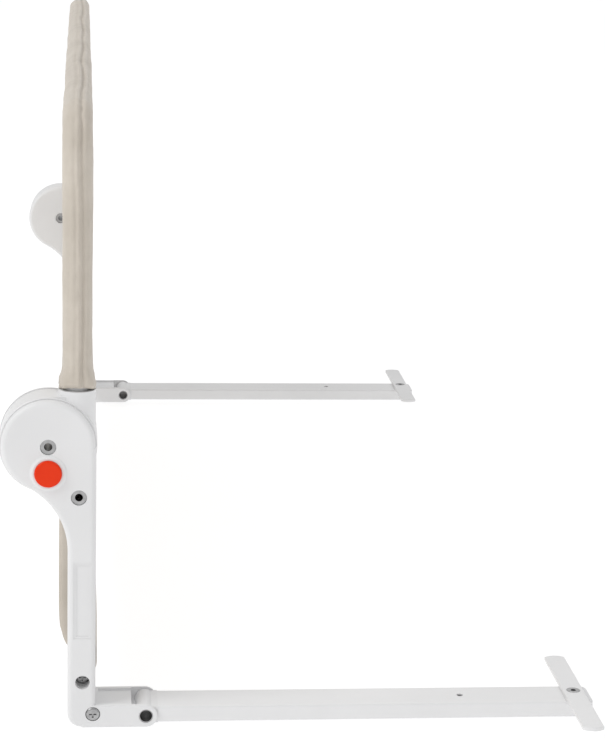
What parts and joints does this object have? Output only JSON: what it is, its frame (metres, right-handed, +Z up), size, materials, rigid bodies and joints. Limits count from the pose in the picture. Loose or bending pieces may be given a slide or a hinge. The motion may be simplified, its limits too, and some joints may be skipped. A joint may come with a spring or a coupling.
{
  "type": "swing-down bed guard rail",
  "caption": "Fabric-covered bed rail on two hinged posts with press-button locks, folding under-mattress arms and swivelling foot plates.",
  "frame": {"origin": "middle of the footprint, on the plane that the arms and posts rest on", "axes": "+X from the posts towards the bed, +Y along the rail, +Z up"},
  "size_m": [0.4, 0.998, 0.414],
  "materials": {
    "white_shell": "fine moulded grain, satin",
    "orange_button": "smooth, slightly glossy",
    "white_paint": "white powder coat, satin",
    "zinc_steel": "zinc plated",
    "spring_steel": "drawn wire",
    "frame_tube": "powder coated tube",
    "nylon": "natural nylon",
    "beige_fabric": "woven polyester, matt"
  },
  "bodies": {
    "base": {"left_outer_cover": "white_shell", "left_inner_cover": "white_shell", "left_post_core": "zinc_steel", "left_hinge_rivet": "zinc_steel", "left_post_rivet": "zinc_steel", "left_cross_tube_screw": "zinc_steel", "left_foot_screw": "zinc_steel", "left_arm_pin": "zinc_steel", "left_cross_tube_plug": "nylon", "right_outer_cover": "white_shell", "right_inner_cover": "white_shell", "right_post_core": "zinc_steel", "right_hinge_rivet": "zinc_steel", "right_post_rivet": "zinc_steel", "right_cross_tube_screw": "zinc_steel", "right_foot_screw": "zinc_steel", "right_arm_pin": "zinc_steel", "right_cross_tube_plug": "nylon", "lower_cross_tube": "white_paint", "fabric_skirt": "beige_fabric"},
    "rail": {"left_hinge_hub": "white_shell", "left_lock_plate": "zinc_steel", "left_tube_screw": "zinc_steel", "left_side_tube": "frame_tube", "left_corner_elbow": "nylon", "left_top_tube": "frame_tube", "right_hinge_hub": "white_shell", "right_lock_plate": "zinc_steel", "right_tube_screw": "zinc_steel", "right_side_tube": "frame_tube", "right_corner_elbow": "nylon", "right_top_tube": "frame_tube", "rail_joiner": "frame_tube", "joiner_rivets": "zinc_steel", "fabric_cover": "beige_fabric"},
    "left_arm": {"left_arm_tube": "white_paint", "left_arm_knuckle": "white_shell", "left_arm_end_cap": "white_shell", "left_foot_rivet": "zinc_steel"},
    "left_foot": {"left_foot_plate": "white_paint"},
    "left_button": {"left_release_button": "orange_button", "left_lock_plunger": "zinc_steel", "left_button_spring": "spring_steel"},
    "right_arm": {"right_arm_tube": "white_paint", "right_arm_knuckle": "white_shell", "right_arm_end_cap": "white_shell", "right_foot_rivet": "zinc_steel"},
    "right_foot": {"right_foot_plate": "white_paint"},
    "right_button": {"right_release_button": "orange_button", "right_lock_plunger": "zinc_steel", "right_button_spring": "spring_steel"}
  },
  "joints": [
    {"name": "rail_swing", "type": "hinge", "parent": "base", "child": "rail", "pos_m": [-0.168, 0, 0.193], "axis": [0, -1, 0], "range_deg": [0, 180]},
    {"name": "left_arm_fold", "type": "hinge", "parent": "base", "child": "left_arm", "pos_m": [-0.1035, -0.4325, 0.0078], "axis": [0, -1, 0], "range_deg": [0, 90]},
    {"name": "left_foot_swivel", "type": "hinge", "parent": "left_arm", "child": "left_foot", "pos_m": [0.1885, -0.4325, 0.015], "axis": [0, 0, 1], "range_deg": [-90, 90]},
    {"name": "left_button_press", "type": "slide", "parent": "base", "child": "left_button", "axis": [0, 1, 0], "range_m": [0, 0.0042], "stiffness_N_per_m": 800, "springref_m": -0.002, "deforming": ["left_button_spring"]},
    {"name": "right_arm_fold", "type": "hinge", "parent": "base", "child": "right_arm", "pos_m": [-0.1035, 0.4325, 0.0078], "axis": [0, -1, 0], "range_deg": [0, 90]},
    {"name": "right_foot_swivel", "type": "hinge", "parent": "right_arm", "child": "right_foot", "pos_m": [0.1885, 0.4325, 0.015], "axis": [0, 0, 1], "range_deg": [-90, 90]},
    {"name": "right_button_press", "type": "slide", "parent": "base", "child": "right_button", "axis": [0, -1, 0], "range_m": [0, 0.0042], "stiffness_N_per_m": 800, "springref_m": -0.002, "deforming": ["right_button_spring"]}
  ]
}
